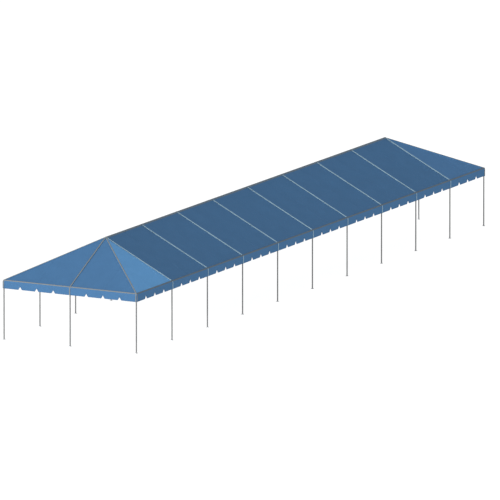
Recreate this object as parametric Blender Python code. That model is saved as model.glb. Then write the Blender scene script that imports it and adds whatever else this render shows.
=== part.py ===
"""Frame marquee tent with a hipped roof, 20 ft wide and 100 ft long.

Ten bays of 10 ft stand along X and two along Y. Every joint of the tube frame is a fitting with a sleeve for
each tube that meets there. Six sections of vinyl cover lie on the sleeves and hang down as a notched valance.
Metres, +Z up. The origin is on the ground, under the middle of the ridge.
"""

from math import atan2, cos, pi, sin

import bmesh
import bpy
from mathutils import Matrix, Vector

FOOT = 0.3048
INCH = FOOT / 12

# Plan and heights of the tube centrelines
BAY = 10 * FOOT
BAYS_LONG = 10
BAYS_WIDE = 2
EAVE_Z = 8 * FOOT
RIDGE_Z = 13 * FOOT

# Tubes, and the sleeves of the fittings that hold them
TUBE_R = 1.0 * INCH
SLEEVE_R = 0.03015
SLEEVE_HALF = 0.09
SOCKET = 0.12
TUBE_SIDES = 12

# Foot plates
PLATE = 4.0 * INCH
PLATE_T = 0.006

# Cover
COVER_T = 0.004
BAYS_PER_SECTION = 2
HEM_Z = 2.113
NOTCHES_PER_BAY = 3
NOTCH_WIDTH = 0.16
NOTCH_DEPTH = 0.125

# Clearance between pieces that touch, and how far a cutter reaches past what it cuts
GAP = 0.0003
REACH = 0.1

# Worked out from the above
HALF_LENGTH = BAYS_LONG * BAY / 2
HALF_WIDTH = BAYS_WIDE * BAY / 2
CROWN_X = HALF_LENGTH - HALF_WIDTH
ROOF_SLOPE = atan2(RIDGE_Z - EAVE_Z, HALF_WIDTH)
COVER_INSIDE = SLEEVE_R + GAP
COVER_OUTSIDE = COVER_INSIDE + COVER_T


def clear_scene():
    for old in list(bpy.data.objects):
        bpy.data.objects.remove(old, do_unlink=True)


def new_collection(name):
    group = bpy.data.collections.new(name)
    bpy.context.scene.collection.children.link(group)
    return group


def new_material(name, colour, roughness, metallic):
    material = bpy.data.materials.new(name)
    material.use_nodes = True
    shader = material.node_tree.nodes["Principled BSDF"]
    shader.inputs["Base Color"].default_value = (*colour, 1.0)
    shader.inputs["Roughness"].default_value = roughness
    shader.inputs["Metallic"].default_value = metallic
    return material


def mesh_from(bm, name):
    mesh = bpy.data.meshes.new(name)
    bm.to_mesh(mesh)
    bm.free()
    return mesh


def box_in(bm, low, high):
    """Add a box between two corners."""
    low = Vector(low)
    size = Vector(high) - low
    stretch = Matrix.Diagonal((*size, 1.0))
    bmesh.ops.create_cube(bm, size=1.0, matrix=Matrix.Translation(low + size / 2) @ stretch)


def helper(mesh, group):
    """An object that only shapes others: it is hidden, and it is removed again once used."""
    shape = bpy.data.objects.new(mesh.name, mesh)
    shape.hide_render = True
    shape.display_type = "WIRE"
    group.objects.link(shape)
    return shape


def tube(name, start, end, radius):
    """A round bar from start to end, as a mesh with closed ends."""
    start = Vector(start)
    run = Vector(end) - start
    turn = run.to_track_quat("Z", "Y").to_matrix().to_4x4()
    bm = bmesh.new()
    bmesh.ops.create_cone(
        bm,
        cap_ends=True,
        segments=TUBE_SIDES,
        radius1=radius,
        radius2=radius,
        depth=run.length,
        matrix=Matrix.Translation(start + run / 2) @ turn,
    )
    return mesh_from(bm, name)


def combine(name, base, others, operation):
    """Join or cut meshes: base united with all the others, or less all the others."""
    group = new_collection(name + " shapes")
    operands = bpy.data.collections.new(name + " operands")
    group.children.link(operands)
    start = helper(base, group)
    for other in others:
        helper(other, operands)
    modifier = start.modifiers.new(operation.lower(), "BOOLEAN")
    modifier.operation = operation
    modifier.operand_type = "COLLECTION"
    modifier.collection = operands
    evaluated = start.evaluated_get(bpy.context.evaluated_depsgraph_get())
    mesh = bpy.data.meshes.new_from_object(evaluated)
    mesh.name = name
    for used in (*operands.objects, start):
        bpy.data.objects.remove(used, do_unlink=True)
    bpy.data.collections.remove(operands)
    bpy.data.collections.remove(group)
    return mesh


def place(name, mesh, material, location=(0, 0, 0), turn=0.0):
    """Put a finished piece on the tent: turned about the vertical, then moved."""
    if not mesh.materials:
        mesh.materials.append(material)
    mesh.shade_smooth()
    mesh.set_sharp_from_angle(angle=pi / 5)
    piece = bpy.data.objects.new(name, mesh)
    piece.location = location
    piece.rotation_euler = (0, 0, turn)
    piece.parent = tent_root
    tent_parts.objects.link(piece)


def along(start, end, distance):
    start = Vector(start)
    return start + (Vector(end) - start).normalized() * distance


def socket(centre, target):
    """A fitting's sleeve, from the fitting's centre towards the far end of the tube that it holds."""
    return tube("socket", centre, along(centre, target, SOCKET), SLEEVE_R)


def sleeve(centre, direction):
    """A fitting's sleeve around a tube that runs on through it."""
    half = Vector(direction) * SLEEVE_HALF
    return tube("sleeve", Vector(centre) - half, Vector(centre) + half, SLEEVE_R)


def below(point):
    return (point[0], point[1], 0.0)


# Legs


def leg_mesh():
    """One leg: a tube welded to its foot plate, up to the socket of the eave fitting."""
    plate = bmesh.new()
    box_in(plate, (-PLATE / 2, -PLATE / 2, 0), (PLATE / 2, PLATE / 2, PLATE_T))
    post = tube("post", (0, 0, PLATE_T / 2), (0, 0, EAVE_Z - SOCKET - GAP), TUBE_R)
    return combine("leg", mesh_from(plate, "plate"), [post], "UNION")


def build_legs():
    mesh = leg_mesh()
    for side, y in (("south", -HALF_WIDTH), ("north", HALF_WIDTH)):
        for i in range(BAYS_LONG + 1):
            place(f"leg_{side}_{i}", mesh, aluminium, (i * BAY - HALF_LENGTH, y, 0))
    for end, x in (("west", -HALF_LENGTH), ("east", HALF_LENGTH)):
        place(f"leg_{end}_middle", mesh, aluminium, (x, 0, 0))


# Eave rails, each with the fittings that it runs through


def long_rail_mesh():
    """The eave tube of the south side, with its side fittings and a corner fitting at each end."""
    west = Vector((-HALF_LENGTH, -HALF_WIDTH, EAVE_Z))
    east = Vector((HALF_LENGTH, -HALF_WIDTH, EAVE_Z))
    shapes = []
    for i in range(1, BAYS_LONG):
        joint = Vector((i * BAY - HALF_LENGTH, -HALF_WIDTH, EAVE_Z))
        ridge_point = (joint.x, 0, RIDGE_Z)
        shapes += [sleeve(joint, (1, 0, 0)), socket(joint, below(joint)), socket(joint, ridge_point)]
    for corner, inward in ((west, 1), (east, -1)):
        next_joint = corner + Vector((inward * BAY, 0, 0))
        next_corner = corner + Vector((0, BAY, 0))
        crown = (-inward * CROWN_X, 0, RIDGE_Z)
        shapes += [socket(corner, target) for target in (next_joint, next_corner, below(corner), crown)]
    return combine("long_eave_rail", tube("rail", west, east, TUBE_R), shapes, "UNION")


def end_rail_mesh():
    """The eave tube of the west end, between the corner fittings, with the fitting over the middle leg."""
    corner = HALF_WIDTH - SOCKET - GAP
    joint = (-HALF_LENGTH, 0, EAVE_Z)
    crown = (-CROWN_X, 0, RIDGE_Z)
    rail = tube("rail", (-HALF_LENGTH, -corner, EAVE_Z), (-HALF_LENGTH, corner, EAVE_Z), TUBE_R)
    shapes = [sleeve(joint, (0, 1, 0)), socket(joint, below(joint)), socket(joint, crown)]
    return combine("end_eave_rail", rail, shapes, "UNION")


def build_eave_rails():
    long_rail = long_rail_mesh()
    place("south_eave_rail", long_rail, aluminium)
    place("north_eave_rail", long_rail, aluminium, turn=pi)
    end_rail = end_rail_mesh()
    place("west_eave_rail", end_rail, aluminium)
    place("east_eave_rail", end_rail, aluminium, turn=pi)


# Ridge, with its fittings and the six-way crown at each end


def ridge_mesh():
    west = Vector((-CROWN_X, 0, RIDGE_Z))
    east = Vector((CROWN_X, 0, RIDGE_Z))
    shapes = []
    for i in range(1, BAYS_LONG):
        joint = Vector((i * BAY - HALF_LENGTH, 0, RIDGE_Z))
        shapes += [socket(joint, (joint.x, side * HALF_WIDTH, EAVE_Z)) for side in (-1, 1)]
    for i in range(2, BAYS_LONG - 1):
        shapes.append(sleeve((i * BAY - HALF_LENGTH, 0, RIDGE_Z), (1, 0, 0)))
    for crown, outward in ((west, -1), (east, 1)):
        shapes.append(socket(crown, (0, 0, RIDGE_Z)))
        for y in (-HALF_WIDTH, 0, HALF_WIDTH):
            shapes.append(socket(crown, (outward * HALF_LENGTH, y, EAVE_Z)))
    return combine("ridge_rail", tube("rail", west, east, TUBE_R), shapes, "UNION")


# Rafters


def rafter_mesh(name, run):
    """A rafter that climbs from an eave joint at the origin, along run, between its two sockets."""
    top = along((0, 0, 0), run, run.length - SOCKET - GAP)
    return tube(name, along((0, 0, 0), run, SOCKET + GAP), top, TUBE_R)


def build_rafters():
    climb = RIDGE_Z - EAVE_Z
    straight = rafter_mesh("rafter", Vector((0, HALF_WIDTH, climb)))
    hip = rafter_mesh("hip_rafter", Vector((HALF_WIDTH, HALF_WIDTH, climb)))
    for i in range(1, BAYS_LONG):
        x = i * BAY - HALF_LENGTH
        place(f"rafter_south_{i}", straight, aluminium, (x, -HALF_WIDTH, EAVE_Z))
        place(f"rafter_north_{i}", straight, aluminium, (x, HALF_WIDTH, EAVE_Z), pi)
    place("rafter_west_middle", straight, aluminium, (-HALF_LENGTH, 0, EAVE_Z), -pi / 2)
    place("rafter_east_middle", straight, aluminium, (HALF_LENGTH, 0, EAVE_Z), pi / 2)
    corners = (("southwest", -1, -1), ("southeast", 1, -1), ("northeast", 1, 1), ("northwest", -1, 1))
    for quarter, (name, x, y) in enumerate(corners):
        corner = (x * HALF_LENGTH, y * HALF_WIDTH, EAVE_Z)
        place(f"hip_rafter_{name}", hip, aluminium, corner, quarter * pi / 2)


# Cover


def roof_block(name, offset, low_x, high_x, bottom_z):
    """A solid tent shape whose walls and roof lie outside the tube centrelines by offset.

    It is a box from low_x to high_x, cut to the south, north and west roof planes.
    """
    half_width = HALF_WIDTH + offset
    bm = bmesh.new()
    box_in(bm, (low_x, -half_width, bottom_z), (high_x, half_width, RIDGE_Z + REACH))
    for outward in (Vector((0, -1, 0)), Vector((0, 1, 0)), Vector((-1, 0, 0))):
        normal = outward * sin(ROOF_SLOPE) + Vector((0, 0, cos(ROOF_SLOPE)))
        eave = Vector((outward.x * HALF_LENGTH, outward.y * HALF_WIDTH, EAVE_Z))
        cut = bmesh.ops.bisect_plane(
            bm,
            geom=[*bm.verts, *bm.edges, *bm.faces],
            plane_co=eave + normal * offset,
            plane_no=normal,
            clear_outer=True,
        )
        rim = [edge for edge in cut["geom_cut"] if isinstance(edge, bmesh.types.BMEdge)]
        bmesh.ops.edgenet_fill(bm, edges=rim)
    bmesh.ops.recalc_face_normals(bm, faces=bm.faces)
    return mesh_from(bm, name)


def notch(centre, direction, length):
    """A cutter for one pointed notch in the hem, reaching length each way along direction."""
    across = Vector(direction)
    tip = Vector((centre[0], centre[1], HEM_Z + NOTCH_DEPTH)) - across * length
    drop = NOTCH_DEPTH + REACH
    spread = across.cross(Vector((0, 0, 1))) * NOTCH_WIDTH / 2 * drop / NOTCH_DEPTH
    foot = tip - Vector((0, 0, drop))
    bm = bmesh.new()
    face = bm.faces.new([bm.verts.new(corner) for corner in (foot + spread, foot - spread, tip)])
    grown = bmesh.ops.extrude_face_region(bm, geom=[face])
    moved = [item for item in grown["geom"] if isinstance(item, bmesh.types.BMVert)]
    bmesh.ops.translate(bm, verts=moved, vec=across * 2 * length)
    bmesh.ops.recalc_face_normals(bm, faces=bm.faces)
    return mesh_from(bm, "notch")


def notch_places(start, bays):
    """Even steps along a stretch of hem, leaving out the legs at the ends of each bay."""
    step = BAY / (NOTCHES_PER_BAY + 1)
    return [start + bay * BAY + n * step for bay in range(bays) for n in range(1, NOTCHES_PER_BAY + 1)]


def section_mesh(name, low_x, bays, hipped):
    """A cover section: the outer tent shape less the inner one, with notches cut in its hem."""
    far_x = low_x + bays * BAY - GAP / 2
    near_x = low_x + GAP / 2
    near_outer = low_x - COVER_OUTSIDE if hipped else near_x
    near_inner = low_x - COVER_INSIDE if hipped else near_x - REACH
    outer = roof_block("outer", COVER_OUTSIDE, near_outer, far_x, HEM_Z)
    inner = roof_block("inner", COVER_INSIDE, near_inner, far_x + REACH, HEM_Z - REACH)
    notches = [notch((x, 0), (0, 1, 0), HALF_WIDTH + REACH) for x in notch_places(low_x, bays)]
    if hipped:
        end_notches = notch_places(-HALF_WIDTH, BAYS_WIDE)
        notches += [notch((-HALF_LENGTH, y), (1, 0, 0), REACH) for y in end_notches]
    shell = combine("shell", outer, [inner], "DIFFERENCE")
    return combine(name, shell, notches, "DIFFERENCE")


def build_cover():
    hip = section_mesh("cover_hip", -HALF_LENGTH, 1, True)
    place("cover_west_hip", hip, hip_vinyl)
    place("cover_east_hip", hip, hip_vinyl, turn=pi)
    middle = section_mesh("cover_middle", -CROWN_X, BAYS_PER_SECTION, False)
    sections = (BAYS_LONG - 2) // BAYS_PER_SECTION
    for i in range(sections):
        place(f"cover_middle_{i + 1}", middle, middle_vinyl, (i * BAYS_PER_SECTION * BAY, 0, 0))


clear_scene()
tent_parts = new_collection("marquee tent")
tent_root = bpy.data.objects.new("marquee_tent", None)
tent_parts.objects.link(tent_root)

aluminium = new_material("mill-finish aluminium tube", (0.40, 0.41, 0.42), 0.45, 1.0)
hip_vinyl = new_material("light blue vinyl, end sections", (0.11, 0.26, 0.47), 0.5, 0.0)
middle_vinyl = new_material("blue vinyl, middle sections", (0.07, 0.16, 0.30), 0.5, 0.0)

build_legs()
build_eave_rails()
place("ridge_rail", ridge_mesh(), aluminium)
build_rafters()
build_cover()
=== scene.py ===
"""Looks of the frame marquee tent: its vinyl cover, tubes and fittings, and the light and camera.

Metres, +Z up. X runs along the ridge. The camera looks at the long side at -Y and the end at -X. Every place
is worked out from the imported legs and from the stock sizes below.
"""

from math import atan, cos, inf, pi, radians, sin, sqrt, tau

import bmesh
import bpy
from mathutils import Matrix, Vector, noise


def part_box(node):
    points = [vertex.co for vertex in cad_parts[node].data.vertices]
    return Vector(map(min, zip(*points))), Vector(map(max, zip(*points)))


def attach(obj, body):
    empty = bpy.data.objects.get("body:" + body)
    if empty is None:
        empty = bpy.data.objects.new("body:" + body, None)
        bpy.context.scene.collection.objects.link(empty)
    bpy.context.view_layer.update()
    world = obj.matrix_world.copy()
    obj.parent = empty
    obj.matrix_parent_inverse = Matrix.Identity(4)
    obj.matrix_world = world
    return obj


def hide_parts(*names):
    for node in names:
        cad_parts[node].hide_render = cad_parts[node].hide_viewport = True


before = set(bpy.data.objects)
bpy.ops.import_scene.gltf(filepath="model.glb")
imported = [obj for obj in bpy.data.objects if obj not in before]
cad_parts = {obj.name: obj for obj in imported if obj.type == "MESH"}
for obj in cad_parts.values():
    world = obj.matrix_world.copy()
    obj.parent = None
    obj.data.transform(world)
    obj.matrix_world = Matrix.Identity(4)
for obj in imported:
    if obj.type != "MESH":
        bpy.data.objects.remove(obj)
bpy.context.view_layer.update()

MM = 0.001
FOOT = 0.3048

# Points closer than SAME are one point, and a place is past a line once it is CLEAR of it
SAME = 1e-6
CLEAR = 1e-5


def middle(node):
    """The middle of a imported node's box."""
    low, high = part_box(node)
    return (low + high) / 2


# Plan and heights of the tubes' centrelines
HALF_LENGTH = middle("leg_east_middle").x
HALF_WIDTH = middle("leg_north_0").y
BAY = 10 * FOOT
BAYS_LONG = round(2 * HALF_LENGTH / BAY)
BAYS_WIDE = round(2 * HALF_WIDTH / BAY)
EAVE_Z = 8 * FOOT
RIDGE_Z = 13 * FOOT
CROWN_X = HALF_LENGTH - HALF_WIDTH
PITCH = atan((RIDGE_Z - EAVE_Z) / HALF_WIDTH)
SIDES = (("south", -HALF_WIDTH), ("north", HALF_WIDTH))
ENDS = (("west", -1), ("east", 1))

# Tubes, and the sockets and sleeves of the fittings. A tube stops INSET short of a fitting's centre
TUBE_R = 25.4 * MM
TUBE_SIDES = 32
SLEEVE_R = 30.15 * MM
SLEEVE_BORE = 26.2 * MM
SLEEVE_HALF = 90 * MM
SOCKET = 120 * MM
SOCKET_DEPTH = 40 * MM
LIP = 1.5 * MM
INSET = SOCKET - SOCKET_DEPTH + LIP

# Bolts, and how far along a socket or a sleeve they sit
WASHER_R = 9 * MM
WASHER_T = 2.5 * MM
WASHER_SIDES = 20
BOLT_HEAD_R = 7 * MM
BOLT_HEAD_T = 4 * MM
BOLT_SUNK = 1 * MM
SOCKET_BOLT = SOCKET - SOCKET_DEPTH * 0.6
SLEEVE_BOLT = SLEEVE_HALF * 0.7

# Foot plates, 4 in square, and how a leg stands on one: its tube starts inside the plate, over a welded stub
PLATE = 4 * FOOT / 12
PLATE_T = 6 * MM
PLATE_CORNER_R = 6 * MM
PLATE_EDGE_R = 1 * MM
STAKE_HOLE_R = 7 * MM
STAKE_HOLE_IN = 14 * MM
STAKE_HOLE_SIDES = 20
BEAD_R = 3 * MM
BEAD_SIDES = 8
PIN_HEIGHT = 60 * MM
LEG_START = PLATE_T / 3

# Roof of the cover: it lies on each tube as a round of SHEET_R, and sags and ripples in between
SHEET_R = 30.8 * MM
SHEET_T = 1.2 * MM
PANEL_RISE = 2 * MM
PANEL_SAG = 24 * MM
RIPPLE = 3 * MM
RIPPLES_PER_METRE = 1.7
RIPPLE_LAYER = 3.0
RIM_X = HALF_LENGTH + SHEET_R
RIM_Y = HALF_WIDTH + SHEET_R

# Valance: it hangs from the rim, bulges over the legs, and waves where it is free of them
HEM_Z = 2.113
VALANCE_DROP = EAVE_Z - HEM_Z
VALANCE_ROWS = 6
HEM_BAND = 24 * MM
NOTCHES_PER_BAY = 3
NOTCH_STEP = BAY / (NOTCHES_PER_BAY + 1)
NOTCH_WIDTH = 0.16
NOTCH_DEPTH = 0.125
LEG_BULGE = 16 * MM
HELD_BY_LEG = 0.35
VALANCE_WAVE = 9 * MM
WAVE_LENGTH = BAY / 4
WAVE_DRIFT = 3
DRIFTS_PER_METRE = 0.9
DRIFT_LAYER = 7.0

# The grid of the cloth is cut at these angles round a tube, beside it, and about MESH_STEP apart elsewhere
FAN = [SHEET_R * sin(radians(angle)) for angle in (0, 14, 28, 42, 55, 67, 78, 90)]
BESIDE_TUBE = SHEET_R + 5 * MM
MESH_STEP = 0.13

# Strips over the tubes. The first three are half widths, to the nearest cut of the grid
NARROW_STRIP = 0.84 * SHEET_R
WIDE_STRIP = 0.97 * SHEET_R
RIDGE_STRIP = 50 * MM
EAVE_STRIP_DROP = 4 * MM
STRIP_LIFT = 1.4 * MM

# Laps of the sections over one another, and the welds between the widths of their cloth
LAP = FAN[-2]
LAP_LIFT = 1.4 * MM
SECTION_GAP = 0.3 * MM
WELD_HALF = 12.5 * MM
WELD_LIFT = 0.9 * MM

# Shifts that give each side and end of the cover its own stretch of the vinyl's pattern
FAR_SHIFT = 40.0
END_SHIFT = 20.0

# Edges where faces turn by more than this many degrees are drawn sharp
METAL_CREASE = 35
CLOTH_CREASE = 60

# Camera: the direction of the view, and its width at the tent, through a lens long enough to look parallel
AZIMUTH = radians(-61.99)
ELEVATION = radians(11.1)
VIEW_WIDTH = 20.54
LENS = 1700
SENSOR = 36
AIM = Vector((0.277, 0.0, 1.286))

# Floor and sky. The sky is white like the floor at the horizon and below, and dims to its own glow by 17
# degrees up
FLOOR_HALF = 400
FLOOR_DROP = 0.5 * MM
FLOOR_GLOW = 0.95
FLOOR_GREY = 0.1
HORIZON_GLOW = 1.02
HAZE_TOP = sin(radians(17))
SKY_GLOW = 0.76

# Suns: the way to each, which is as long as the sun is strong, and how wide it looks in degrees
SUN_SCALE = 1.127
KEY_SUN = ((-1.08, 0.522, 0.261), 6)
FILL_SUN = ((-0.1225, -0.36, 0.157), 25)


# Materials

# Places of the Mix node's colour sockets, which share their names with its other sockets
MIX_FACTOR, MIX_A, MIX_B, MIX_RESULT = 0, 6, 7, 2


def linear(hex_colour):
    """An sRGB hex colour as the linear RGBA that a shader takes."""
    channels = [int(hex_colour[i : i + 2], 16) / 255 for i in (0, 2, 4)]
    return (*[c / 12.92 if c <= 0.04045 else ((c + 0.055) / 1.055) ** 2.4 for c in channels], 1.0)


def add_node(tree, kind, inputs=None, **settings):
    """Add a node. settings are its properties, and inputs are values for its sockets or links to them."""
    made = tree.nodes.new(kind)
    for name, value in settings.items():
        setattr(made, name, value)
    for name, value in (inputs or {}).items():
        if isinstance(value, bpy.types.NodeSocket):
            tree.links.new(value, made.inputs[name])
        else:
            made.inputs[name].default_value = value
    return made


def new_material(name, metallic, roughness, specular=0.5):
    """A material with its shader's uniform values set. Returns it with its node tree and its shader."""
    material = bpy.data.materials.new(name)
    material.use_nodes = True
    tree = material.node_tree
    shader = tree.nodes["Principled BSDF"]
    shader.inputs["Metallic"].default_value = metallic
    shader.inputs["Roughness"].default_value = roughness
    shader.inputs["Specular IOR Level"].default_value = specular
    return material, tree, shader


def finish(tree, shader, colour, factor, spread, *reliefs):
    """Give a shader its colour, which runs from darker to lighter by spread as factor does, and its reliefs.

    A relief is a height from 0 to 1, how strongly it shows, and how deep it is. They go from coarse to fine.
    """
    low, high = [(*[c * (1 + side * spread) for c in linear(colour)[:3]], 1.0) for side in (-1, 1)]
    tone = add_node(tree, "ShaderNodeMix", {MIX_FACTOR: factor, MIX_A: low, MIX_B: high}, data_type="RGBA")
    tree.links.new(tone.outputs[MIX_RESULT], shader.inputs["Base Color"])
    inputs = {}
    for height, strength, depth in reliefs:
        inputs |= {"Height": height, "Strength": strength, "Distance": depth}
        inputs["Normal"] = add_node(tree, "ShaderNodeBump", inputs).outputs["Normal"]
    if reliefs:
        tree.links.new(inputs["Normal"], shader.inputs["Normal"])


def coated_vinyl(name, colour):
    """Cover vinyl: polyester scrim laminated between two blue PVC films, calendered to a matt face.

    The eye sees an even blue, faintly clouded by weathering, with the scrim's grid pressed into it, slack
    patches that catch the light, and the creases of the bag that it is stored in.
    """
    material, tree, shader = new_material(name, metallic=0.0, roughness=0.8, specular=0.05)
    cloth = add_node(tree, "ShaderNodeUVMap", uv_map="cloth").outputs["UV"]
    # Clouds about 600 mm across, and slack patches about 250 mm across
    cloudy = {"Vector": cloth, "Scale": 1.6, "Detail": 8.0, "Roughness": 0.6}
    clouds = add_node(tree, "ShaderNodeTexNoise", cloudy)
    slack_patches = add_node(tree, "ShaderNodeTexNoise", {"Vector": cloth, "Scale": 4.0, "Detail": 3.0})
    # Storage creases 850 mm apart, which fade out within 20 mm of their middle. The scrim has 9 threads to
    # the inch, 2.8 mm apart, drawn 14 mm apart so that it shows
    creases, scrim = [
        add_node(
            tree,
            "ShaderNodeTexBrick",
            {
                "Vector": cloth,
                "Scale": 1.0,
                "Mortar Size": fade,
                "Mortar Smooth": 1.0,
                "Brick Width": pitch,
                "Row Height": pitch,
            },
            offset=0.0,
        )
        for fade, pitch in ((20 * MM, 850 * MM), (3.5 * MM, 14 * MM))
    ]
    finish(
        tree, shader, colour, clouds.outputs["Fac"], 0.08,
        (slack_patches.outputs["Fac"], 0.4, 8 * MM),
        (creases.outputs["Fac"], 0.5, 3 * MM),
        (scrim.outputs["Fac"], 0.65, 1 * MM),
    )
    return material


def welded_strip(name, colour):
    """Grey PVC strip welded over the cover where it rests on a tube: matt, and scuffed paler in patches."""
    material, tree, shader = new_material(name, metallic=0.0, roughness=0.7, specular=0.05)
    cloth = add_node(tree, "ShaderNodeUVMap", uv_map="cloth").outputs["UV"]
    # Scuffs about 70 mm across
    scuffs = add_node(tree, "ShaderNodeTexNoise", {"Vector": cloth, "Scale": 14.0, "Detail": 6.0})
    # Grained film with a 4 mm pitch, as coarse as it is made
    grain = add_node(tree, "ShaderNodeTexVoronoi", {"Vector": cloth, "Scale": 250.0})
    finish(
        tree, shader, colour, scuffs.outputs["Fac"], 0.12,
        (scuffs.outputs["Fac"], 0.4, 1.5 * MM),
        (grain.outputs["Distance"], 0.4, 1 * MM),
    )
    return material


def mill_aluminium(name, colour):
    """Extruded aluminium tube as it comes from the mill, dulled outdoors: soft grey, blotched and hazed."""
    material, tree, shader = new_material(name, metallic=1.0, roughness=0.45)
    place = add_node(tree, "ShaderNodeTexCoord").outputs["Object"]
    # Blotches about 140 mm across
    blotches = add_node(tree, "ShaderNodeTexNoise", {"Vector": place, "Scale": 7.0, "Detail": 5.0})
    # Die lines and handling scratches about 2 mm apart
    scratches = add_node(tree, "ShaderNodeTexNoise", {"Vector": place, "Scale": 450.0, "Detail": 2.0})
    finish(
        tree, shader, colour, blotches.outputs["Fac"], 0.15,
        (scratches.outputs["Fac"], 0.2, 0.3 * MM),
    )
    return material


def galvanised_steel(name, colour):
    """Hot-dip galvanised steel fitting: zinc crystals of about 10 mm in slightly different greys."""
    material, tree, shader = new_material(name, metallic=1.0, roughness=0.5)
    place = add_node(tree, "ShaderNodeTexCoord").outputs["Object"]
    crystals = add_node(tree, "ShaderNodeTexVoronoi", {"Vector": place, "Scale": 100.0})
    grey = add_node(tree, "ShaderNodeSeparateColor", {"Color": crystals.outputs["Color"]}).outputs["Red"]
    finish(tree, shader, colour, grey, 0.18, (grey, 0.1, 0.3 * MM))
    return material


def zinc_plate(name, colour):
    """Bright zinc plating on bolts: smoother and paler than the tubes, with a cloudy film of about 6 mm."""
    material, tree, shader = new_material(name, metallic=1.0, roughness=0.3)
    place = add_node(tree, "ShaderNodeTexCoord").outputs["Object"]
    film = add_node(tree, "ShaderNodeTexNoise", {"Vector": place, "Scale": 160.0, "Detail": 2.0})
    finish(tree, shader, colour, film.outputs["Fac"], 0.1)
    return material


BLUE_VINYL = coated_vinyl("coated_vinyl_blue", "395b7d")
# Painted light: the side roofs of the hip sections use the blue vinyl made lighter, much more at the west end
# than at the east
WEST_PAINTED_LIGHT_VINYL = coated_vinyl("coated_vinyl_blue_painted_light_west", "5181ad")
EAST_PAINTED_LIGHT_VINYL = coated_vinyl("coated_vinyl_blue_painted_light_east", "3f6388")
# Painted light and shade: one grey strip in five greys, paler over the rafters and darker over the long
# sides' eaves and the ridge, for how light falls on each
LIT_AND_SHADED_STRIPS = (
    welded_strip("welded_pvc_strip_rafter_painted_light", "768d9b"),
    welded_strip("welded_pvc_strip_hip_painted_light", "646a6c"),
    welded_strip("welded_pvc_strip_end_eave_painted_light", "666a6c"),
    welded_strip("welded_pvc_strip_side_eave_painted_shade", "4d5862"),
    welded_strip("welded_pvc_strip_ridge_painted_shade", "535f6a"),
)
METALS = (
    mill_aluminium("mill_finish_aluminium", "6b6c6c"),
    galvanised_steel("galvanised_steel", "a2a4a7"),
    zinc_plate("zinc_plated_steel", "a9aaa8"),
)

# Places of the materials in a cover section: the blue vinyl, its copy painted lighter, then the strips over
# each kind of tube
BLUE, SIDE_PAINTED_LIGHT_BLUE, RAFTER, HIP, END_EAVE, SIDE_EAVE, RIDGE = range(7)

# Places of the metals in a piece of the frame
TUBE, FITTING, BOLT = range(3)


# Mesh helpers


def mesh_from(bm, name, *materials):
    """Turn a bmesh into a mesh with these materials."""
    mesh = bpy.data.meshes.new(name)
    bm.to_mesh(mesh)
    bm.free()
    for material in materials:
        mesh.materials.append(material)
    return mesh


def add_piece(name, mesh, node, crease=METAL_CREASE):
    """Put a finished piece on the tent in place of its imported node."""
    mesh.shade_smooth()
    mesh.set_sharp_from_angle(angle=radians(crease))
    piece = bpy.data.objects.new(name, mesh)
    bpy.context.scene.collection.objects.link(piece)
    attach(piece, "root")
    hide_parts(node)
    return piece


def add_copy(bm, mesh, matrix):
    """Add a ready-made shape to a bmesh, moved by a matrix."""
    before = set(bm.verts)
    bm.from_mesh(mesh)
    bmesh.ops.transform(bm, matrix=matrix, verts=[vert for vert in bm.verts if vert not in before])


def lay(start, run, up=(0, 0, 1)):
    """A matrix that stands Z along run and turns Y as near to up as it goes, at start."""
    z = Vector(run).normalized()
    y = Vector(up)
    y = (y - z * y.dot(z)).normalized()
    turn = Matrix((y.cross(z), y, z)).transposed().to_4x4()
    return Matrix.Translation(start) @ turn


def turned(outline, closed=False, material=TUBE):
    """Spin an outline of (radius, height) points about Z into a shape with its faces pointing out."""
    bm = bmesh.new()
    verts = [bm.verts.new((radius, 0, height)) for radius, height in outline]
    edges = [bm.edges.new(pair) for pair in zip(verts, verts[1:])]
    if closed:
        edges.append(bm.edges.new((verts[-1], verts[0])))
    bmesh.ops.spin(
        bm,
        geom=[*verts, *edges],
        cent=(0, 0, 0),
        axis=(0, 0, 1),
        angle=tau,
        steps=TUBE_SIDES,
        use_merge=True,
    )
    bmesh.ops.remove_doubles(bm, verts=bm.verts, dist=SAME)
    bmesh.ops.recalc_face_normals(bm, faces=bm.faces)
    for face in bm.faces:
        face.material_index = material
    return bm


# Metal parts that repeat, each along Z from its own centre


def bolt_head():
    """A hexagon bolt head on a washer, seated on a sleeve's -Y side."""
    bm = bmesh.new()
    seat = Matrix.Translation((0, BOLT_SUNK - SLEEVE_R, 0)) @ Matrix.Rotation(pi / 2, 4, "X")
    washer = (WASHER_SIDES, WASHER_R, WASHER_T)
    head = (6, BOLT_HEAD_R, WASHER_T + BOLT_HEAD_T)
    for sides, radius, height in (washer, head):
        bmesh.ops.create_cone(
            bm,
            cap_ends=True,
            segments=sides,
            radius1=radius,
            radius2=radius,
            depth=height,
            matrix=seat @ Matrix.Translation((0, 0, height / 2)),
        )
    for face in bm.faces:
        face.material_index = BOLT
    return mesh_from(bm, "bolt head")


BOLT_SHAPE = bolt_head()


def socket():
    """A fitting's socket from its centre to its chamfered mouth, blind behind the tube that it takes."""
    outline = [
        (0, 0),
        (SLEEVE_R, 0),
        (SLEEVE_R, SOCKET - LIP),
        (SLEEVE_R - LIP, SOCKET),
        (SLEEVE_BORE, SOCKET),
        (SLEEVE_BORE, SOCKET - SOCKET_DEPTH),
        (0, SOCKET - SOCKET_DEPTH),
    ]
    bm = turned(outline, material=FITTING)
    add_copy(bm, BOLT_SHAPE, Matrix.Translation((0, 0, SOCKET_BOLT)))
    return mesh_from(bm, "socket")


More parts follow.
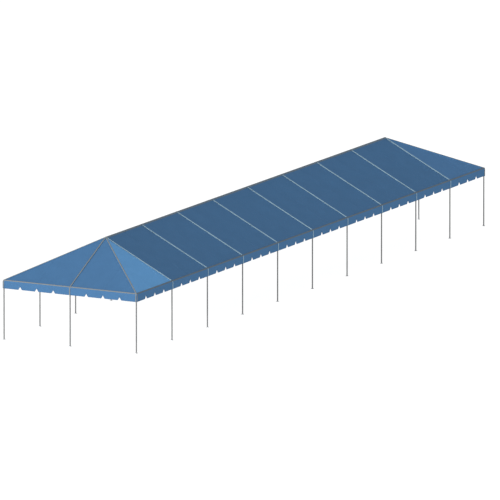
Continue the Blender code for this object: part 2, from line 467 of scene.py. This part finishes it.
def sleeve():
    """A fitting's sleeve around a tube that runs on through it, chamfered at both mouths."""
    outline = [
        (SLEEVE_R, LIP - SLEEVE_HALF),
        (SLEEVE_R, SLEEVE_HALF - LIP),
        (SLEEVE_R - LIP, SLEEVE_HALF),
        (TUBE_R, SLEEVE_HALF),
        (TUBE_R, -SLEEVE_HALF),
        (SLEEVE_R - LIP, -SLEEVE_HALF),
    ]
    bm = turned(outline, closed=True, material=FITTING)
    for side in (-1, 1):
        add_copy(bm, BOLT_SHAPE, Matrix.Translation((0, 0, side * SLEEVE_BOLT)))
    return mesh_from(bm, "sleeve")


SOCKET_SHAPE = socket()
SLEEVE_SHAPE = sleeve()


def add_socket(bm, centre, target, up=(0, 0, 1)):
    """Add a socket that points from a fitting's centre to a target."""
    add_copy(bm, SOCKET_SHAPE, lay(centre, Vector(target) - Vector(centre), up))


def add_tube(bm, start, end, short_start=INSET):
    """Add a tube with closed ends from start to end, made short at each end for the socket that it enters."""
    start = Vector(start)
    run = Vector(end) - start
    low, high = short_start, run.length - INSET
    tube = mesh_from(turned([(0, low), (TUBE_R, low), (TUBE_R, high), (0, high)]), "tube")
    up = (0, 0, 1) if run.xy.length else (0, 1, 0)
    add_copy(bm, tube, lay(start, run, up))


# Legs


def foot_plate():
    """A bevelled square plate with a stake hole near each corner."""
    bm = bmesh.new()
    size = Matrix.Diagonal((PLATE, PLATE, PLATE_T, 1.0))
    bmesh.ops.create_cube(bm, size=1.0, matrix=Matrix.Translation((0, 0, PLATE_T / 2)) @ size)
    upright = [edge for edge in bm.edges if abs(edge.verts[0].co.z - edge.verts[1].co.z) > PLATE_T / 2]
    bmesh.ops.bevel(
        bm, geom=upright, offset=PLATE_CORNER_R, segments=4, profile=0.5, affect="EDGES", material=-1
    )
    top = [edge for edge in bm.edges if min(vert.co.z for vert in edge.verts) > PLATE_T / 2]
    bmesh.ops.bevel(
        bm, geom=top, offset=PLATE_EDGE_R, segments=2, profile=0.5, affect="EDGES", material=-1
    )
    plate = bpy.data.objects.new("plate", mesh_from(bm, "plate"))
    holes = bmesh.new()
    spot = PLATE / 2 - STAKE_HOLE_IN
    for x in (-spot, spot):
        for y in (-spot, spot):
            bmesh.ops.create_cone(
                holes,
                cap_ends=True,
                segments=STAKE_HOLE_SIDES,
                radius1=STAKE_HOLE_R,
                radius2=STAKE_HOLE_R,
                depth=4 * PLATE_T,
                matrix=Matrix.Translation((x, y, 0)),
            )
    cutter = bpy.data.objects.new("stake holes", mesh_from(holes, "stake holes"))
    for shape in (plate, cutter):
        bpy.context.scene.collection.objects.link(shape)
    cut = plate.modifiers.new("stake holes", "BOOLEAN")
    cut.operation = "DIFFERENCE"
    cut.object = cutter
    evaluated = plate.evaluated_get(bpy.context.evaluated_depsgraph_get())
    mesh = bpy.data.meshes.new_from_object(evaluated)
    for shape in (plate, cutter):
        bpy.data.objects.remove(shape, do_unlink=True)
    return mesh


def weld_bead():
    """The rounded bead of the weld between the plate and the stub that the leg stands over."""
    turns = [k * tau / BEAD_SIDES for k in range(BEAD_SIDES)]
    outline = [(TUBE_R + BEAD_R * cos(turn), PLATE_T + BEAD_R * sin(turn)) for turn in turns]
    return mesh_from(turned(outline, closed=True, material=FITTING), "weld bead")


def leg():
    """A leg on its foot plate, pinned to the plate's stub by a bolt."""
    bm = bmesh.new()
    bm.from_mesh(foot_plate())
    for face in bm.faces:
        face.material_index = FITTING
    add_copy(bm, weld_bead(), Matrix())
    add_copy(bm, BOLT_SHAPE, Matrix.Translation((0, SLEEVE_R - TUBE_R, PIN_HEIGHT)))
    add_tube(bm, (0, 0, LEG_START), (0, 0, EAVE_Z), short_start=0)
    return mesh_from(bm, "leg")


def build_legs():
    """All the legs. The pins' heads face into the tent along the sides, and out of it at the ends."""
    shape = leg()
    for node in [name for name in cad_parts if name.startswith("leg_")]:
        place = middle(node)
        turn = 0 if place.y > HALF_WIDTH / 2 else pi
        if abs(place.y) < HALF_WIDTH / 2:
            turn = -pi / 2 if place.x < 0 else pi / 2
        bm = bmesh.new()
        add_copy(bm, shape, Matrix.Translation((place.x, place.y, 0)) @ Matrix.Rotation(turn, 4, "Z"))
        add_piece("tube_" + node, mesh_from(bm, node, *METALS), node)


# Rails, ridge and rafters


def add_frame_piece(name, bm, node):
    """Put a finished rail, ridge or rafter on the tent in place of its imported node."""
    add_piece(name, mesh_from(bm, name, *METALS), node)


def build_side_rail(side, y):
    """An eave rail on a long side, with its side fittings and the corner fittings at its ends."""
    bm = bmesh.new()
    outward = (0, y, 0)
    add_tube(bm, (-HALF_LENGTH, y, EAVE_Z), (HALF_LENGTH, y, EAVE_Z))
    for i in range(1, BAYS_LONG):
        x = i * BAY - HALF_LENGTH
        joint = (x, y, EAVE_Z)
        add_copy(bm, SLEEVE_SHAPE, lay(joint, (1, 0, 0)))
        add_socket(bm, joint, (x, y, 0), outward)
        add_socket(bm, joint, (x, 0, RIDGE_Z))
    for end in (-1, 1):
        corner = (end * HALF_LENGTH, y, EAVE_Z)
        add_socket(bm, corner, (0, y, EAVE_Z))
        add_socket(bm, corner, (end * HALF_LENGTH, 0, EAVE_Z))
        add_socket(bm, corner, (end * HALF_LENGTH, y, 0), outward)
        add_socket(bm, corner, (end * CROWN_X, 0, RIDGE_Z))
    add_frame_piece(f"rail_tube_{side}_eave", bm, f"{side}_eave_rail")


def build_end_rail(end, sign):
    """An eave rail across an end, with the fitting over the middle leg."""
    bm = bmesh.new()
    x = sign * HALF_LENGTH
    joint = (x, 0, EAVE_Z)
    outward = (x, 0, 0)
    add_tube(bm, (x, -HALF_WIDTH, EAVE_Z), (x, HALF_WIDTH, EAVE_Z))
    add_copy(bm, SLEEVE_SHAPE, lay(joint, (0, 1, 0)))
    add_socket(bm, joint, (x, 0, 0), outward)
    add_socket(bm, joint, (sign * CROWN_X, 0, RIDGE_Z))
    add_frame_piece(f"rail_tube_{end}_eave", bm, f"{end}_eave_rail")


def build_ridge():
    """The ridge tube with its fittings, and a crown of six sockets at each end."""
    bm = bmesh.new()
    add_tube(bm, (-CROWN_X, 0, RIDGE_Z), (CROWN_X, 0, RIDGE_Z))
    for i in range(1, BAYS_LONG):
        x = i * BAY - HALF_LENGTH
        for y in (-HALF_WIDTH, HALF_WIDTH):
            add_socket(bm, (x, 0, RIDGE_Z), (x, y, EAVE_Z))
        if 1 < i < BAYS_LONG - 1:
            add_copy(bm, SLEEVE_SHAPE, lay((x, 0, RIDGE_Z), (1, 0, 0)))
    for end in (-1, 1):
        crown = (end * CROWN_X, 0, RIDGE_Z)
        add_socket(bm, crown, (0, 0, RIDGE_Z))
        for y in (-HALF_WIDTH, 0, HALF_WIDTH):
            add_socket(bm, crown, (end * HALF_LENGTH, y, EAVE_Z))
    add_frame_piece("ridge_tube_and_crowns", bm, "ridge_rail")


def build_rafter(node, foot, head):
    """A rafter, which reaches into the sockets of the fittings at its foot and its head."""
    bm = bmesh.new()
    add_tube(bm, foot, head)
    add_frame_piece("tube_" + node, bm, node)


def build_rafters():
    """The side rafters, the hip rafters and the middle rafter of each end."""
    for side, y in SIDES:
        for i in range(1, BAYS_LONG):
            x = i * BAY - HALF_LENGTH
            build_rafter(f"rafter_{side}_{i}", (x, y, EAVE_Z), (x, 0, RIDGE_Z))
        for end, sign in ENDS:
            corner = (sign * HALF_LENGTH, y, EAVE_Z)
            build_rafter(f"hip_rafter_{side}{end}", corner, (sign * CROWN_X, 0, RIDGE_Z))
    for end, sign in ENDS:
        foot = (sign * HALF_LENGTH, 0, EAVE_Z)
        build_rafter(f"rafter_{end}_middle", foot, (sign * CROWN_X, 0, RIDGE_Z))


# Roof of the cover


def tube_lines():
    """The ridge and the sloping tubes under the cover: the strip over each, its start and its end.

    The ridge is listed as a hip. strip_over lays its own wider strip, between the crowns.
    """
    lines = [(HIP, Vector((-CROWN_X, 0, RIDGE_Z)), Vector((CROWN_X, 0, RIDGE_Z)))]
    for y in (-HALF_WIDTH, HALF_WIDTH):
        for i in range(1, BAYS_LONG):
            x = i * BAY - HALF_LENGTH
            lines.append((RAFTER, Vector((x, y, EAVE_Z)), Vector((x, 0, RIDGE_Z))))
    for sign in (-1, 1):
        for y in (-HALF_WIDTH, 0, HALF_WIDTH):
            foot = Vector((sign * HALF_LENGTH, y, EAVE_Z))
            lines.append((HIP, foot, Vector((sign * CROWN_X, 0, RIDGE_Z))))
    return lines


LINES = tube_lines()
STRIP_HALF = {RAFTER: WIDE_STRIP, HIP: NARROW_STRIP}


def aside(line, point):
    """How far a point lies beside a tube in plan, and how high the tube's centreline is there."""
    _, start, end = line
    run = end - start
    share = (point.xy - start.xy).dot(run.xy) / run.xy.length_squared
    nearest = start + run * min(max(share, 0.0), 1.0)
    return (point.xy - nearest.xy).length, nearest.z


def out_of_eave(point):
    """How far a point lies outside the eave tubes' centrelines in plan, less than 0 under the roof."""
    return max(abs(point.y) - HALF_WIDTH, abs(point.x) - HALF_LENGTH)


def at_end(point):
    """Whether a point belongs to an end of the tent, and not to a long side: the hips part them."""
    return abs(point.x) - HALF_LENGTH > abs(point.y) - HALF_WIDTH


def slack(point):
    """How slack a panel is at a point: 0 on the tubes around it and 1 at its loosest."""
    up_end = (HALF_LENGTH - abs(point.x)) / HALF_WIDTH
    up_side = (HALF_WIDTH - abs(point.y)) / HALF_WIDTH
    # Between the crowns the tubes part the roof into rectangles, and beyond them into triangles
    if up_end > 1:
        return abs(sin(pi * up_end * HALF_WIDTH / BAY)) * sin(pi * min(max(up_side, 0), 1))
    # Three shares that add up to 1 have a product of 1/27 at most
    near, far = sorted((up_end, up_side))
    return max(0.0, 27 * near * (far - near) * (1 - far))


def cover_height(point):
    """Height of the cover's underside: the slack roof plane, or the top of the highest tube below it."""
    outside = out_of_eave(point)
    ripple = noise.noise(Vector((point.x * RIPPLES_PER_METRE, point.y * RIPPLES_PER_METRE, RIPPLE_LAYER)))
    height = EAVE_Z - outside * (RIDGE_Z - EAVE_Z) / HALF_WIDTH + PANEL_RISE / cos(PITCH)
    height += slack(point) * (ripple * RIPPLE - PANEL_SAG)
    if abs(outside) <= SHEET_R:
        height = max(height, EAVE_Z + sqrt(SHEET_R**2 - outside**2))
    for line in LINES:
        distance, centre = aside(line, point)
        if distance < SHEET_R:
            run = line[2] - line[1]
            height = max(height, centre + sqrt(SHEET_R**2 - distance**2) * run.length / run.xy.length)
    return height


def stations(low, high, tubes, cuts):
    """Where to cut the sheet from low to high: round each tube, at the given cuts, and evenly between."""
    fixed = {low, high, *cuts}
    for tube in tubes:
        fixed |= {tube + side * step for side in (-1, 1) for step in (*FAN, BESIDE_TUBE)}
    fixed = sorted(place for place in fixed if low - SAME <= place <= high + SAME)
    filled = []
    for start, end in zip(fixed, fixed[1:]):
        parts = max(1, round((end - start) / MESH_STEP))
        filled += [start + (end - start) * k / parts for k in range(parts)]
    return [place for place in filled if place > low + CLEAR]


def bay_cuts(start, bays):
    """Cuts along a stretch of whole bays, where the hem turns at its notches and beside the welds.

    The cloth is 5 ft wide, so a weld runs up the middle of each bay.
    """
    cuts = []
    for bay in range(bays):
        for n in range(1, NOTCHES_PER_BAY + 1):
            notch = start + bay * BAY + n * NOTCH_STEP
            cuts += [notch - NOTCH_WIDTH / 2, notch, notch + NOTCH_WIDTH / 2]
        weld = start + (bay + 0.5) * BAY
        cuts += [weld - WELD_HALF, weld + WELD_HALF]
    return cuts


def cut_sheet(bm, point, normal):
    """Cut a sheet along a plane without taking anything off it."""
    whole = [*bm.verts, *bm.edges, *bm.faces]
    bmesh.ops.bisect_plane(bm, geom=whole, dist=SAME, plane_co=point, plane_no=normal)


def plan_sheet(low, high, tubes, x_cuts, y_cuts, hips=()):
    """A flat sheet across the tent from x = low to high, cut into a grid along the tubes and the hips.

    Each hip is its foot in plan and the direction that it runs in.
    """
    bm = bmesh.new()
    size = Matrix.Diagonal((high - low, 2 * RIM_Y, 1.0, 1.0))
    place = Matrix.Translation(((low + high) / 2, 0, 0)) @ size
    bmesh.ops.create_grid(bm, x_segments=1, y_segments=1, size=0.5, matrix=place)
    for x in stations(low, high, tubes, x_cuts):
        cut_sheet(bm, (x, 0, 0), (1, 0, 0))
    for y in stations(-RIM_Y, RIM_Y, (-HALF_WIDTH, 0, HALF_WIDTH), (-RIDGE_STRIP, RIDGE_STRIP, *y_cuts)):
        cut_sheet(bm, (0, y, 0), (0, 1, 0))
    for foot, direction in hips:
        across = Vector((-direction[1], direction[0], 0)).normalized()
        for step in sorted({side * step for side in (-1, 1) for step in FAN}):
            cut_sheet(bm, Vector(foot) + across * step, across)
    return bm


# Valance of the cover


def along_hem(point):
    """Distance along the hem from the corner leg, for a point at the rim, and the outward direction there."""
    outward = Vector((0, 0, 0))
    if abs(point.y) - HALF_WIDTH > SHEET_R / 2:
        outward.y = 1.0 if point.y > 0 else -1.0
    if abs(point.x) - HALF_LENGTH > SHEET_R / 2:
        outward.x = 1.0 if point.x > 0 else -1.0
    distance = point.x + HALF_LENGTH if outward.y else point.y + HALF_WIDTH
    return distance, outward


def notch_rise(distance):
    """How far the hem is cut up into a notch."""
    in_bay = distance % BAY
    rises = [1 - abs(in_bay - n * NOTCH_STEP) / (NOTCH_WIDTH / 2) for n in range(1, NOTCHES_PER_BAY + 1)]
    return NOTCH_DEPTH * max(0.0, *rises)


def from_leg(distance):
    """How far the nearest leg is, along the hem."""
    in_bay = distance % BAY
    return min(in_bay, BAY - in_bay)


def valance_point(rim, row):
    """A point of the valance, that many rows below the rim of the roof. The row after the last is the hem."""
    distance, outward = along_hem(rim)
    hem = HEM_Z + notch_rise(distance)
    top = EAVE_Z - EAVE_STRIP_DROP
    if row > VALANCE_ROWS:
        height = hem
    else:
        height = top + (hem + HEM_BAND - top) * (row - 1) / (VALANCE_ROWS - 1)
    fall = (EAVE_Z - height) / VALANCE_DROP
    leg_distance = from_leg(distance)
    out = 0.0
    if leg_distance < SHEET_R:
        out += LEG_BULGE * sqrt(1 - (leg_distance / SHEET_R) ** 2) * min(1.0, row / 2)
    free = min(1.0, max(0.0, leg_distance - SHEET_R) / HELD_BY_LEG)
    drift = noise.noise(Vector((rim.x * DRIFTS_PER_METRE, rim.y * DRIFTS_PER_METRE, DRIFT_LAYER)))
    swing = (sin(tau * distance / WAVE_LENGTH + WAVE_DRIFT * drift) + drift) / 2
    out += VALANCE_WAVE * free * fall * fall * swing
    point = rim + outward * out
    point.z = height
    return point


def place_key(point):
    """A point's place to the micrometre, to look it up by."""
    return tuple(round(c, 6) for c in point)


def hang_valance(bm):
    """Hang the valance from the outer rim of the roof, row by row, down to the notched hem."""
    edges = [e for e in bm.edges if all(out_of_eave(v.co) > SHEET_R - CLEAR for v in e.verts)]
    rim = {}
    for row in range(1, VALANCE_ROWS + 2):
        grown = bmesh.ops.extrude_edge_only(bm, edges=edges)["geom"]
        verts = {item for item in grown if isinstance(item, bmesh.types.BMVert)}
        edges = [e for e in grown if isinstance(e, bmesh.types.BMEdge) and set(e.verts) <= verts]
        places = {vert: rim.get(place_key(vert.co), vert.co.copy()) for vert in verts}
        rim = {}
        for vert, place in places.items():
            vert.co = valance_point(place, row)
            rim[place_key(vert.co)] = place


# Strips, welds and hem band, and the sections of the cover


def strip_over(centre):
    """Which strip covers a face with that centre, or None."""
    if centre.z < EAVE_Z:
        distance, outward = along_hem(centre)
        if centre.z > EAVE_Z - EAVE_STRIP_DROP:
            return END_EAVE if outward.x else SIDE_EAVE
        if from_leg(distance) > NARROW_STRIP:
            return None
        return HIP if abs(centre.x) > HALF_LENGTH - BAY / 2 else RAFTER
    if out_of_eave(centre) > -NARROW_STRIP:
        return END_EAVE if at_end(centre) else SIDE_EAVE
    if abs(centre.y) < RIDGE_STRIP and abs(centre.x) < CROWN_X:
        return RIDGE
    over = [line[0] for line in LINES if aside(line, centre)[0] < STRIP_HALF[line[0]]]
    return max(over) if over else None


def is_weld(centre):
    """Whether a face with that centre lies where two widths of the roof's cloth are welded together."""
    distance = centre.y + HALF_WIDTH if at_end(centre) else centre.x + HALF_LENGTH
    return out_of_eave(centre) < -SHEET_R and abs(distance % BAY - BAY / 2) < WELD_HALF


def is_hem(face):
    """Whether a face of the valance is in its lowest row."""
    low = min(vert.co.z for vert in face.verts)
    distance, _ = along_hem(face.calc_center_median())
    return low < HEM_Z + NOTCH_DEPTH and low - HEM_Z - notch_rise(distance) < HEM_BAND / 2


def lift(bm, verts, height):
    """Move points of the cover outwards, square to it."""
    bm.normal_update()
    for vert in verts:
        vert.co += vert.normal * height


def copy_lifted(bm, faces, height):
    """Copy some faces and lift the copy off them, as a second layer."""
    made = bmesh.ops.duplicate(bm, geom=faces)["geom"]
    lift(bm, [item for item in made if isinstance(item, bmesh.types.BMVert)], height)


def map_cloth(bm):
    """Lay out the cloth in metres: u along the eave, v up the slope from the eave."""
    layer = bm.loops.layers.uv.new("cloth")
    for face in bm.faces:
        centre = face.calc_center_median()
        on_end = at_end(centre)
        u_shift = FAR_SHIFT if (centre.x if on_end else centre.y) > 0 else 0.0
        v_shift = END_SHIFT if on_end else 0.0
        for loop in face.loops:
            place = loop.vert.co
            distance = place.y if on_end else place.x
            beyond = abs(place.x) - HALF_LENGTH if on_end else abs(place.y) - HALF_WIDTH
            rise = -beyond / cos(PITCH)
            if place.z < EAVE_Z - CLEAR:
                rise = place.z - EAVE_Z - SHEET_R / cos(PITCH)
            loop[layer].uv = (distance + u_shift, rise + v_shift)


def build_section(name, bm, side_painted_light_vinyl=None, seam=inf, covered=-inf):
    """Finish a cover section: raise it over the tubes, hang its valance, weld on its strips and hem.

    It laps over the next section from x = seam on, and lies under the last section's lap up to x = covered.
    The vinyl given after bm is for the roof of its long sides, where that differs from the rest: a lighter
    copy of the blue vinyl, painted light.
    """
    for vert in bm.verts:
        vert.co.z = cover_height(vert.co)
    hang_valance(bm)
    bmesh.ops.recalc_face_normals(bm, faces=bm.faces)
    if sum(face.normal.z * face.calc_area() for face in bm.faces) < 0:
        bmesh.ops.reverse_faces(bm, faces=bm.faces)
    lift(bm, [vert for vert in bm.verts if vert.co.x > seam - SECTION_GAP], LAP_LIFT)
    centres = {face: face.calc_center_median() for face in bm.faces}
    strips = {}
    for face, centre in centres.items():
        kind = strip_over(centre)
        if kind is not None and centre.x > covered:
            strips[face] = kind
            face.material_index = kind
        # Painted light: the long sides' roof of a hip section gets the lighter copy of the blue vinyl
        elif side_painted_light_vinyl and not at_end(centre) and abs(centre.y) < HALF_WIDTH:
            face.material_index = SIDE_PAINTED_LIGHT_BLUE
    bare = [face for face, centre in centres.items() if face not in strips and centre.x > covered]
    map_cloth(bm)
    hem = [face for face in bare if is_hem(face)]
    welds = [face for face in bare if is_weld(centres[face])]
    copy_lifted(bm, hem + welds, WELD_LIFT)
    copy_lifted(bm, list(strips), STRIP_LIFT)
    for face in strips:
        face.material_index = BLUE
    piece_name = f"cover_sheet_{name}"
    mesh = mesh_from(bm, piece_name, BLUE_VINYL, side_painted_light_vinyl or BLUE_VINYL, *LIT_AND_SHADED_STRIPS)
    piece = add_piece(piece_name, mesh, f"cover_{name}", CLOTH_CREASE)
    thickness = piece.modifiers.new("cloth thickness", "SOLIDIFY")
    thickness.thickness = SHEET_T
    thickness.offset = 1.0


def build_middle_sections():
    """The middle sections of the cover, two bays long."""
    for i in range((BAYS_LONG - 2) // 2):
        start = -CROWN_X + 2 * i * BAY
        seam = start + 2 * BAY
        tubes = (start, start + BAY, seam)
        bm = plan_sheet(start + SECTION_GAP / 2, seam + LAP, tubes, bay_cuts(start, 2), ())
        build_section(f"middle_{i + 1}", bm, seam=seam, covered=start + LAP)


def build_hip_sections():
    """The end sections of the cover, each over an end and the last bay of both long sides."""
    # Where each starts and ends along X, the lighter vinyl that paints light on its side roofs, its seam, and
    # how far it is covered
    west = (-RIM_X, LAP - CROWN_X, WEST_PAINTED_LIGHT_VINYL, -CROWN_X, -inf)
    east = (CROWN_X + SECTION_GAP / 2, RIM_X, EAST_PAINTED_LIGHT_VINYL, inf, CROWN_X + LAP)
    for (end, sign), (low, high, vinyl, seam, covered) in zip(ENDS, (west, east)):
        tubes = (sign * HALF_LENGTH, sign * CROWN_X)
        hips = [((sign * HALF_LENGTH, y, 0), (-sign * HALF_WIDTH, -y)) for y in (-HALF_WIDTH, HALF_WIDTH)]
        x_cuts = bay_cuts(min(tubes), 1)
        bm = plan_sheet(low, high, tubes, x_cuts, bay_cuts(-HALF_WIDTH, BAYS_WIDE), hips)
        build_section(f"{end}_hip", bm, vinyl, seam, covered)


# Studio


def build_floor():
    """A plain pale floor, lit from within so that it stays white under the tent."""
    bm = bmesh.new()
    bmesh.ops.create_grid(bm, x_segments=1, y_segments=1, size=FLOOR_HALF)
    material, _, shader = new_material("studio_floor", metallic=0.0, roughness=1.0, specular=0.0)
    shader.inputs["Base Color"].default_value = (FLOOR_GREY, FLOOR_GREY, FLOOR_GREY, 1.0)
    shader.inputs["Emission Color"].default_value = (1.0, 1.0, 1.0, 1.0)
    shader.inputs["Emission Strength"].default_value = FLOOR_GLOW
    floor = bpy.data.objects.new("studio_floor", mesh_from(bm, "studio_floor", material))
    floor.location.z = -FLOOR_DROP
    bpy.context.scene.collection.objects.link(floor)


def add_sun(name, towards, angle):
    """A sun as strong as the vector towards it is long. One of length 1 lights a white card to white."""
    light = bpy.data.lights.new(name, "SUN")
    light.energy = pi * SUN_SCALE * Vector(towards).length
    light.angle = radians(angle)
    lamp = bpy.data.objects.new(name, light)
    lamp.rotation_mode = "QUATERNION"
    lamp.rotation_quaternion = Vector(towards).to_track_quat("Z", "Y")
    bpy.context.scene.collection.objects.link(lamp)


def build_studio():
    """The sky, the floor and the suns."""
    scene = bpy.context.scene
    scene.view_settings.view_transform = "Standard"
    world = bpy.data.worlds.new("studio")
    world.use_nodes = True
    tree = world.node_tree
    sky = tree.nodes["Background"]
    sky.inputs["Color"].default_value = (1.0, 1.0, 1.0, 1.0)
    direction = add_node(tree, "ShaderNodeTexCoord").outputs["Generated"]
    rise = add_node(tree, "ShaderNodeSeparateXYZ", {"Vector": direction}).outputs["Z"]
    glow = add_node(
        tree,
        "ShaderNodeMapRange",
        {"Value": rise, "From Min": 0.0, "From Max": HAZE_TOP, "To Min": HORIZON_GLOW, "To Max": SKY_GLOW},
    )
    tree.links.new(glow.outputs["Result"], sky.inputs["Strength"])
    scene.world = world
    build_floor()
    add_sun("key_light", *KEY_SUN)
    add_sun("fill_light", *FILL_SUN)


def build_camera():
    """A camera so far back from the point that it looks at that the tent looks drawn in parallel."""
    back = Vector((sin(AZIMUTH) * cos(ELEVATION), -cos(AZIMUTH) * cos(ELEVATION), sin(ELEVATION)))
    distance = LENS / SENSOR * VIEW_WIDTH
    data = bpy.data.cameras.new("camera")
    data.lens = LENS
    data.sensor_width = SENSOR
    data.clip_start = 1
    data.clip_end = 2 * distance
    camera = bpy.data.objects.new("camera", data)
    camera.location = AIM + back * distance
    camera.rotation_mode = "QUATERNION"
    camera.rotation_quaternion = (-back).to_track_quat("-Z", "Y")
    bpy.context.scene.collection.objects.link(camera)
    bpy.context.scene.camera = camera


build_camera()
build_studio()
build_legs()
for side_name, side_y in SIDES:
    build_side_rail(side_name, side_y)
for end_name, end_sign in ENDS:
    build_end_rail(end_name, end_sign)
build_ridge()
build_rafters()
build_middle_sections()
build_hip_sections()
